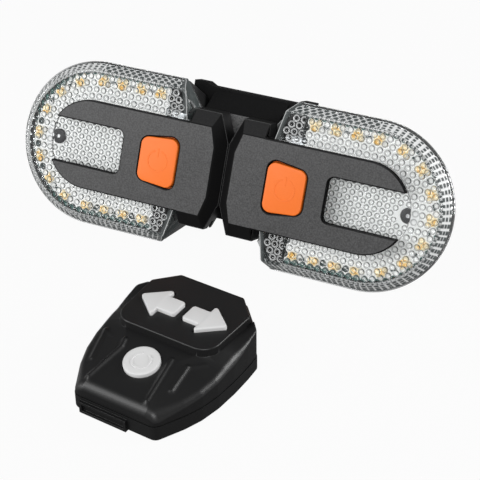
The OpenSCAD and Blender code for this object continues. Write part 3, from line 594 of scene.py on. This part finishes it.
# Section of the ring: the outer side from the front down its slope to the rim, then the inner side back
face_steps, face_long, face_r, face_z = 20, 3.85, 1.98, 3.3
slope_steps, slope_long, slope_r, slope_z = 15, 3.2, 1.87, 2.6
outer_front = [(ring_in, front_z), (ring_in + 0.12, front_z), (22.9, front_z), (23.15, front_z),
               (23.27, front_z - 0.06)]
outer_slope = [(23.35 + face_r * k / face_steps, front_z - 0.2 - face_z * k / face_steps)
               for k in range(face_steps + 1)]
outer_rim = [(25.45, -6.15), (25.7, -6.2), (25.85, -6.28), (ring_out, -6.45), (ring_out, rim_z + 0.3),
             (ring_out, rim_z + 0.15), (25.8, rim_z)]
outer = outer_front + outer_slope + outer_rim
inner_slope = [(24.3 - slope_r * k / slope_steps, -6.2 + slope_z * k / slope_steps)
               for k in range(slope_steps)]
inner_flat = [(r, back_z) for r in np.arange(22.43, ring_in, -0.22)] + [(ring_in, back_z)]
inner = [(24.35, rim_z)] + inner_slope + inner_flat
count = len(outer) + len(inner)
ring_points = np.array([(*ring_point(r, column), rim_z if column[3] and i >= len(outer) else z)
                        for column in columns for i, (r, z) in enumerate(outer + inner)])

# Painted light on the ring: how far a point is covered by the opaque coat, and how pale it is there. Rings
# round the caps on the board are painted shade, those past the board's end pale as painted glints, the ring
# over the screw is painted pale, and the ends' edges are painted dark.
cap_painted_shade, bare_cap_painted_share, bare_painted_glint, edge_painted_shade = 0.55, 0.75, 0.9, 0.7
screw_view_r, screw_view_painted_share = 3.8, 0.85
bump_dark_painted_share, bump_pale_painted_share, least_painted_glint = 0.92, 0.75, 0.35
inside_dark, outside_dark, dark_fade = 0.6, 0.8, 0.11
flat_inside = np.isclose(ring_points[:, 2], back_z)
past_board = ring_points[:, 0] < board_end
away = nearest(ring_points[:, :2], ring_caps())
ring_points[:, 2] -= np.where(flat_inside, cap_height(away, cap_r, cap_h), 0)
cap_painted_share = np.where(past_board, bare_cap_painted_share, cap_painted_shade)
ring_painted_share = np.where(flat_inside, flank_share(away, cap_r) * cap_painted_share, 0)
ring_painted_glint = np.where(flat_inside & past_board, bare_painted_glint, 0)
over_screw = flat_inside & (np.hypot(ring_points[:, 0] - screw_x, ring_points[:, 1]) < screw_view_r)
ring_painted_glint = np.where(over_screw, 1 - ring_painted_share, ring_painted_glint)
ring_painted_share = np.where(over_screw, screw_view_painted_share, ring_painted_share)
for c, (part, _, inset, of_wall) in enumerate(columns):
    here = slice(c * count, (c + 1) * count)
    if part == "end":
        ring_painted_share[[here.start, here.stop - 1]] = edge_painted_shade
    elif of_wall:
        ring_painted_share[here], ring_painted_glint[here] = end_painted_edges[inset]
square_pitch, square_rows, square_spread, square_tall = 1.9, (0.17, 0.5, 0.83), 1.3, 1.2


def bumps(first, steps, long, rows, pitch, radius, height, lift_r, lift_z):
    """Raises fine bumps on a slope of the ring, painted dark in the middle as shade and pale round their edge
    as glints: rows of round ones inside and on the upper arm, square ones outside round the end and on the
    lower arm."""
    inside = lift_r < 0
    for c, column in enumerate(columns):
        if column[3]:
            continue
        round_ones = inside or column[0] == "upper"
        run = slope_run(column)
        for k in range(1, steps):
            fall = long * k / steps
            if round_ones:
                away = min(math.hypot((run + pitch / 2 * (row + 1)) % pitch - pitch / 2, fall - at)
                           for row, at in enumerate(rows))
            else:
                along = abs(run % square_pitch - square_pitch / 2)
                down = min(abs(fall - share * long) for share in square_rows)
                away = square_spread * max(along, square_tall * down)
            away = np.array(away)
            here = c * count + first + k
            x, y = ring_points[here, :2]
            out = Vector((max(x - end_x, 0), y)).normalized()
            lift = np.array((out.x * lift_r, out.y * lift_r, lift_z))
            ring_points[here] += lift * cap_height(away, radius, height)
            fade = 0 if round_ones else dark_fade * out.y
            dark_share = inside_dark if inside else outside_dark - fade
            middle = away < dark_share * radius
            if x < board_end and inside:
                middle = not middle
            share = flank_share(away, radius) if round_ones else 1.0
            pale = least_painted_glint + (1 - least_painted_glint) * share
            ring_painted_share[here], ring_painted_glint[here] = (bump_dark_painted_share, 0.0) if middle else (bump_pale_painted_share, pale)


bumps(len(outer_front), face_steps, face_long, (0.55, 1.9, 3.25), pitch=2.3, radius=0.98, height=0.17,
      lift_r=0.86, lift_z=0.51)
bumps(len(outer) + 1, slope_steps, slope_long, (0.6, 1.6, 2.6), pitch=1.5, radius=0.6, height=0.35,
      lift_r=-0.81, lift_z=-0.58)

# The tongue: a flat plate with its own caps inside, none over the screw, each with a painted ring of shade
# round its edge
tongue_r, tongue_x, tongue_half, tongue_steps, tongue_rows = 13.8, 32.6, 7.6, 130, 75
tongue_cap_r, tongue_cap_h, tongue_cap_painted_share = 0.85, 0.38, 0.75
tongue_pitch, tongue_row, screw_clear = 2.5, 1.75, 3.1
tongue_points = []
for z in (front_z, back_z):
    for y in np.linspace(-tongue_half, tongue_half, tongue_rows):
        run = end_x + math.sqrt(tongue_r ** 2 - y ** 2) - tongue_x
        tongue_points += [(tongue_x + run * k / tongue_steps, y, z) for k in range(tongue_steps + 1)]
tongue_points = np.array(tongue_points)
spots = [(x + tongue_pitch / 2 * (row % 2), y) for row, y in enumerate(np.arange(-7.0, 7.2, tongue_row))
         for x in np.arange(33.4, 59, tongue_pitch)]
spots = [(x, y) for x, y in spots if math.hypot(x - screw_x, y) > screw_clear]
flat_inside = np.isclose(tongue_points[:, 2], back_z)
away = nearest(tongue_points[:, :2], spots)
tongue_points[:, 2] -= np.where(flat_inside, cap_height(away, tongue_cap_r, tongue_cap_h), 0)
tongue_painted_share = np.where(flat_inside, flank_share(away, tongue_cap_r) * tongue_cap_painted_share, 0)


def grid_faces(wide, deep):
    """The faces of a grid of points, row by row."""
    return [(j * wide + i, j * wide + i + 1, (j + 1) * wide + i + 1, (j + 1) * wide + i)
            for j in range(deep - 1) for i in range(wide - 1)]


def grid_border(wide, deep):
    """The points round a grid, in order."""
    border = list(range(wide)) + [j * wide + wide - 1 for j in range(1, deep)]
    border += [(deep - 1) * wide + i for i in range(wide - 2, -1, -1)]
    return border + [j * wide for j in range(deep - 2, 0, -1)]


wide, deep = tongue_steps + 1, tongue_rows
below = wide * deep
tongue_faces = []
for face in grid_faces(wide, deep):
    tongue_faces += [face, tuple(i + below for i in face)]
border = grid_border(wide, deep)
for here, there in zip(border, border[1:] + border[:1]):
    tongue_faces.append((here, there, there + below, here + below))
lens = joined(stacked(np.split(ring_points, len(columns))), (list(tongue_points), tongue_faces))
# The painted shade and glints go onto each lens as point attributes.
painted_light = {"flank": np.concatenate([ring_painted_share, tongue_painted_share]),
         "spark": np.concatenate([ring_painted_glint, np.zeros(len(tongue_points))])}
for side in sides:
    mesh = solid_mesh("lens", *lens, lamp_place(side))
    for name, values in painted_light.items():
        mesh.attributes.new(name, "FLOAT", "POINT").data.foreach_set("value", values)
    shown(f"{side}_clear_lens", smoothed(mesh, angle=50), lens_clear, f"{side}_lamp", f"{side}_lens")

# Hidden works of each lamp: a rubber gasket under the lens, a switch behind the button, a foil-wrapped
# lithium cell, and a steel charging socket on the board, which a rubber plug closes from behind.
# Four steel screws from the back hold the case together.
seal_rubber = moulded("seal_rubber", (0.03, 0.03, 0.03), 0.7, grain=0.4)
switch_black = moulded("switch_black", (0.025, 0.025, 0.026), 0.4, grain=0.2)
plug_rubber = moulded("plug_rubber", (0.022, 0.022, 0.022), 0.65, grain=0.3)


def bright_metal(name, shade, rough, grain):
    """Plated or bare metal with a fine uneven polish."""
    finish, shader, start = new_finish(name, Metallic=1.0)
    polish = noise(start, grain, detail=3.0)
    polish.between(tone(shade, 0.85), tone(shade, 1.1)).into(shader, "Base Color")
    (polish * 0.2 + (rough - 0.1)).into(shader, "Roughness")
    return finish


def finished(node, finish):
    """Gives a node that stays as it is its finish."""
    frame["nodes"][node].data.materials.clear()
    frame["nodes"][node].data.materials.append(finish)


cell_foil = bright_metal("cell_foil", (0.66, 0.68, 0.7), 0.4, 1.5)
socket_steel = bright_metal("socket_steel", (0.6, 0.6, 0.61), 0.35, 0.6)
screw_steel = bright_metal("screw_steel", (0.5, 0.5, 0.52), 0.35, 0.3)
for side in sides:
    finished(f"{side}_seal", seal_rubber)
    finished(f"{side}_tact_switch", switch_black)
    finished(f"{side}_battery", cell_foil)
    finished(f"{side}_usb_socket", socket_steel)
    eased(f"{side}_usb_plug", plug_rubber, edge=0.25)
    eased(f"{side}_case_screws", screw_steel, edge=0.1, steps=1)

# Remote, upper shell: a satin black moulding with a ramp between two fine ridges, sloped flanks and
# a raised deck, screwed to the lower shell from below.
remote_black = moulded("remote_black", (0.0085, 0.0085, 0.0088), 0.38, grain=0.22, depth=0.006, mottle=0.15,
                       spread=0.06)
# Where the shell stands upright it shows a dull copy of the black with almost no gloss: painted shade on the
# walls, the lower shell's too.
start = Wire(remote_black.node_tree)
turned = start.node("ShaderNodeTexCoord", out="Normal")
upright_painted_shade = ranged(share_along(turned, (0, 0, 1)), low=0.4, high=0.15)
wall_painted_shade = varied(noise(start, size=0.3), bar_black, by=0.2)
dulled_wall = dull_shader(wall_painted_shade, rough=0.6, specular=0.1)
surfaced(remote_black, upright_painted_shade, own_shader(remote_black), dulled_wall)
remote_right, remote_ahead, remote_turn = 8.2, 86.4, math.radians(-8.4)
remote_place = (Matrix.Translation((remote_right * mm, (set_back - remote_ahead) * mm, 0))
                @ Matrix.Rotation(remote_turn, 4, "Z") @ Matrix.Scale(mm, 4))
plan_rounds = [(11.4, 3, 3), (14.7, 9.6, 3), (16.5, 14.6, 3), (17.5, 20, 3), (17.9, 27, 3), (17.8, 34, 3),
               (18, 38.4, 2.5), (10.4, 46.3, 2.5)]


def plan_outline(inset, steps=180):
    """The remote's plan drawn round its circles, moved inward by a distance."""
    drawn = []
    for k in range(steps):
        turn = 2 * math.pi * k / steps - math.pi / 2 + 1e-4
        way = Vector((math.cos(turn), math.sin(turn)))
        best = max(((Vector((s * x, y)), r) for x, y, r in plan_rounds for s in (1, -1)),
                   key=lambda c: c[0].dot(way) + c[1])
        drawn.append(tuple(best[0] + way * (best[1] - inset)))
    return drawn


edge = np.array(plan_outline(0.15))
right = edge[edge[:, 0] > 0]
right = right[np.argsort(right[:, 1])]
plan_front, plan_middle, plan_back = edge[:, 1].min(), 24, edge[:, 1].max()


def half_width(v):
    """Half the plan's width at a distance from its front."""
    return np.interp(v, right[:, 1], right[:, 0])


def line_distance(u, v, a, b):
    """Distance of places on the plan from a line between two points."""
    run = np.array(b) - np.array(a)
    share = np.clip(((u - a[0]) * run[0] + (v - a[1]) * run[1]) / max(run @ run, 1e-9), 0, 1)
    return np.hypot(u - a[0] - share * run[0], v - a[1] - share * run[1])


def edge_distance(u, v):
    """Distance of places on the plan from its edge."""
    best = np.full(u.shape, 1e9)
    for a, b in zip(edge, np.roll(edge, -1, axis=0)):
        best = np.minimum(best, line_distance(u, v, a, b))
    return best


# Raised lines on the top, each with its height, half width and course
ridges = [(0.6, 0.75, [(8.8, 3.3), (6.7, 17.8)]), (0.75, 0.75, [(-10.3, 3.3), (-8.3, 15.8), (-9.2, 18.3)]),
          (0.5, 0.75, [(12.2, 9.6), (11.6, 18.0)]), (0.16, 0.6, [(11.6, 18.0), (15.3, 21.5)]),
          (0.5, 0.75, [(-14.2, 9.8), (-17.2, 20.4)]), (0.16, 0.6, [(-17.2, 20.4), (-14.5, 19.0)])]
ramp_from, ramp_to, ramp_low, ramp_top, ramp_rise = 1, 22.2, 10.0, 13.8, 0.1792
ridge_line = [0, 1, 18, 22.2, 24, 27.7, 42], [10.2, 10.2, 8.7, 11.5, 14.75, 16.4, 16.9]
shoulder_low, shoulder_rise, shoulder_lift = 8.2, 0.1299, ([30, 42], [0, 1.5])
edge_round = [2, 8, 30, 40], [2.6, 1.9, 1.7, 0.6]


def top_height(u, v):
    """Height of the remote's top over its plan, without the deck."""
    ramp = np.minimum(ramp_low + (v - ramp_from) * ramp_rise, ramp_top)
    ridge = np.interp(v, *ridge_line)
    shoulder = shoulder_low + shoulder_rise * v + np.interp(v, *shoulder_lift)
    wide = np.maximum(half_width(v), ridge + 1.0)
    share = np.clip((np.abs(u) - ridge) / (wide - ridge), 0, 1)
    top = ramp + (shoulder - ramp) * share
    for lift, width, line in ridges:
        away = np.minimum.reduce([line_distance(u, v, a, b) for a, b in zip(line, line[1:])])
        top = top + lift * np.exp(-(away / width) ** 2)
    fall = np.interp(v, *edge_round)
    near = np.clip(edge_distance(u, v), 0, fall)
    return top - (fall - np.sqrt(np.maximum(fall ** 2 - (fall - near) ** 2, 0)))


# The top as a grid, closer at the front and at both sides, with a skirt down to the seam
seam, across_steps = 5.25, 221
skirt_levels = [(seam + 0.3, 0.0), (seam + 0.1, 0.001), (seam, 0.004)]
rows = plan_front + np.concatenate([np.arange(0, 3, 0.15), np.arange(3, 47, 0.2),
                                    np.linspace(47, plan_back - plan_front, 12)])
shares = (np.sin(np.linspace(-math.pi / 2, math.pi / 2, across_steps)) * 0.35
          + np.linspace(-1, 1, across_steps) * 0.65)
v_grid = np.repeat(rows[:, None], len(shares), axis=1)
u_grid = half_width(v_grid) * shares[None, :]
w_grid = top_height(u_grid, v_grid)
deep, wide = u_grid.shape
points = list(zip(u_grid.ravel(), v_grid.ravel(), w_grid.ravel()))
faces = grid_faces(wide, deep)
border = grid_border(wide, deep)
upper = border
for w, shrink in skirt_levels:
    lower = list(range(len(points), len(points) + len(border)))
    points += [(points[b][0] * (1 - shrink), points[b][1] * (1 - shrink) + plan_middle * shrink, w)
               for b in border]
    for k in range(len(border)):
        n = (k + 1) % len(border)
        faces.append((upper[k], upper[n], lower[n], lower[k]))
    upper = lower
faces.append(tuple(upper))
shell_mesh = solid_mesh("remote_shell", points, faces, remote_place)

arrow_corners = [(1.3, 30.7), (6.8, 30.7), (6.8, 27.5), (14.4, 33.8), (6.8, 40.1), (6.8, 36.9), (1.3, 36.9)]
arrow_radii = [0.8, 0.35, 0.6, 0.7, 0.6, 0.35, 0.8]
key_v, key_steps = 13.6, 64
ramp_lean = math.atan((ramp_top - ramp_low) / (ramp_to - ramp_from))
key_w = ramp_low + (key_v - ramp_from) * math.tan(ramp_lean)
key_place = remote_place @ Matrix.Translation((0, key_v, key_w)) @ Matrix.Rotation(ramp_lean, 4, "X")


def arrow_ring(by, side):
    """The outline of an arrow key, grown by a distance, on one side."""
    drawn = rounded(grown(arrow_corners, by), arrow_radii, 4)
    return [(side * p[0], p[1]) for p in drawn]


def carved(piece, operation, points, faces, place):
    """Adds a body to a piece, or cuts one out of it."""
    tool = bpy.data.objects.new("tool", solid_mesh("tool", points, faces, place))
    bpy.context.scene.collection.objects.link(tool)
    cut = piece.modifiers.new("carve", "BOOLEAN")
    cut.operation, cut.solver, cut.object = operation, "EXACT", tool
    applied(piece)
    bpy.data.objects.remove(tool)


deck_corners = [(-15.75, 22.4), (15.75, 22.4), (16.6, 41.8), (10.6, 48.2), (-10.6, 48.2), (-16.6, 41.8)]
deck_radii = [5.5, 5.5, 1.5, 1.0, 1.0, 1.5]
deck_levels = [(10.0, 0.3), (13.2, 0.3), (15.5, 0.05), (15.72, 0.0), (15.9, -0.09), (15.98, -0.22),
               (16.0, -0.45)]
arrow_clear, arrow_pocket = 0.25, (12.5, 20.0)
key_pocket_r, key_pocket = 5.45, (-3.5, 4.0)
shell = shown("remote_upper", shell_mesh, remote_black, "remote", "remote_top_shell")
deck = stacked([at_height(rounded(grown(deck_corners, by), deck_radii, 14), z) for z, by in deck_levels])
carved(shell, "UNION", *deck, remote_place)
for side in sides.values():
    pocket = stacked([at_height(arrow_ring(arrow_clear, side), z) for z in arrow_pocket])
    carved(shell, "DIFFERENCE", *pocket, remote_place)
pocket = stacked([at_height(circle(key_pocket_r, key_steps), z) for z in key_pocket])
carved(shell, "DIFFERENCE", *pocket, key_place)
smoothed(shell.data, angle=62)
evened(shell)

# Remote, lower shell: a black tray whose rim meets the upper shell at a fine seam, moulded with the
# strap lug in its front and with four screw wells below.
eased("remote_base_shell", remote_black, edge=0.3)

# Remote keys: pale grey satin plastic, two arrows on the deck and a round key with a ring on the ramp.
# They are moulded one by one and stand in pockets of the upper shell, on the rubber mat.
key_grey = moulded("key_grey", (0.67, 0.67, 0.67), 0.5, grain=0.25, depth=0.006, mottle=0.03, spread=0.05)
arrow_levels = [(13.5, 0.0), (16.55, 0.0), (16.85, -0.05), (17.02, -0.18), (17.1, -0.42)]
for name, side in sides.items():
    arrow = stacked([at_height(arrow_ring(by, side), z) for z, by in arrow_levels])
    mesh = solid_mesh("arrow", *arrow, remote_place)
    shown(f"{name}_arrow", smoothed(mesh, angle=40), key_grey, f"{name}_key", f"{name}_arrow_key")
key_top = 1.06
key_levels = [(5.2, -2.5), (5.2, 0.6), (5.12, 0.85), (4.95, 1.02), (4.6, 1.1), (3.6, key_top)]
key = stacked([at_height(circle(r, key_steps), z) for r, z in key_levels])
mark = raised_ring(0, key_top, radius=2.6, width=0.8, height=0.2, opening=0.4)
mesh = solid_mesh("round_key", *joined(key, mark), key_place)
shown("round_mode_key", smoothed(mesh, angle=40), key_grey, "mode_key", "round_key")

# Hidden works of the remote: a grey silicone key mat on a green board with steel snap domes, and a coin
# cell under a sprung steel clip. Four steel screws from below hold the two shells together.
mat_grey = moulded("mat_grey", (0.35, 0.35, 0.35), 0.7, grain=0.4)
board_green = moulded("board_green", (0.02, 0.13, 0.06), 0.35, grain=0.6)
dome_steel = bright_metal("dome_steel", (0.65, 0.65, 0.62), 0.3, 0.4)
coin_silver = bright_metal("coin_silver", (0.68, 0.68, 0.68), 0.3, 0.8)
clip_steel = bright_metal("clip_steel", (0.6, 0.58, 0.5), 0.35, 0.5)
for node, finish in (("key_mat", mat_grey), ("remote_board", board_green), ("key_domes", dome_steel),
                     ("coin_cell", coin_silver), ("cell_clip", clip_steel)):
    finished(node, finish)
eased("remote_screws", screw_steel, edge=0.1, steps=1)

# Studio: a plain white table that keeps the object's shadow, four soft lights and a weak fill all round.
# The camera stands where the photograph was taken from, in front of the lamps and above them.
floor_white, shader, start = new_finish("floor_white", Base_Color=(0.4, 0.4, 0.4, 1), Roughness=0.9)
camera_ray = start.node("ShaderNodeLightPath", out="Is Camera Ray")
glossy_ray = start.node("ShaderNodeLightPath", out="Is Glossy Ray")
clear_ray = start.node("ShaderNodeLightPath", out="Is Transmission Ray")
seen = start.math("MAXIMUM", start.math("MAXIMUM", camera_ray, glossy_ray * 0.25), clear_ray * 0.3)
glow = start.node("ShaderNodeEmission", {}, {"Color": (1, 1, 1, 1), "Strength": 1.0})
surfaced(floor_white, seen * 0.95, own_shader(floor_white), glow)
bpy.ops.mesh.primitive_plane_add(size=6.0, location=(0, 0, 0))
floor = bpy.context.active_object
floor.name = "floor"
floor.data.materials.append(floor_white)

world = bpy.data.worlds.new("studio")
bpy.context.scene.world = world
world.use_nodes = True
seen = Wire(world.node_tree).node("ShaderNodeLightPath", out="Is Camera Ray")
fill = seen.between((0.13, 0.13, 0.13, 1), (1, 1, 1, 1))
fill.into(world.node_tree.nodes["Background"], "Color")

roll, tilt, swing = math.radians(-9.596), math.radians(11.551), math.radians(-20.24)
camera_from = (6.061, -19.536, 438.4)
sight = (Matrix.Rotation(roll, 3, "Z") @ Matrix.Rotation(tilt, 3, "X")
         @ Matrix.Rotation(swing, 3, "Y")).transposed()
eye = sight @ Vector(camera_from) * mm
camera = bpy.data.objects.new("camera", bpy.data.cameras.new("camera"))
bpy.context.scene.collection.objects.link(camera)
camera.data.sensor_width = 36.0
camera.data.lens = 108.75
camera.data.clip_start = 0.01
camera.matrix_world = lamp_stand @ Matrix.Translation(eye) @ sight.to_4x4()
bpy.context.scene.camera = camera
lights_aim = Vector((0, 0, 0.02))


def soft_light(name, place, size, power):
    """A square soft light that looks at the middle of the set."""
    lamp = bpy.data.lights.new(name, "AREA")
    lamp.size, lamp.energy = size, power
    stand = bpy.data.objects.new(name, lamp)
    bpy.context.scene.collection.objects.link(stand)
    stand.location = place
    stand.rotation_euler = (lights_aim - Vector(place)).to_track_quat("-Z", "Y").to_euler()


soft_light("key_light", (-0.34, -0.58, 0.58), size=0.5, power=3.6)
soft_light("front_light", (0.45, -0.85, 0.55), size=0.4, power=4.2)
soft_light("rim_light", (0.68, 0.3, 0.4), size=0.35, power=4.5)
soft_light("left_card", (-0.7, -0.5, 0.22), size=0.3, power=2.6)
bpy.context.scene.view_settings.view_transform = "Standard"
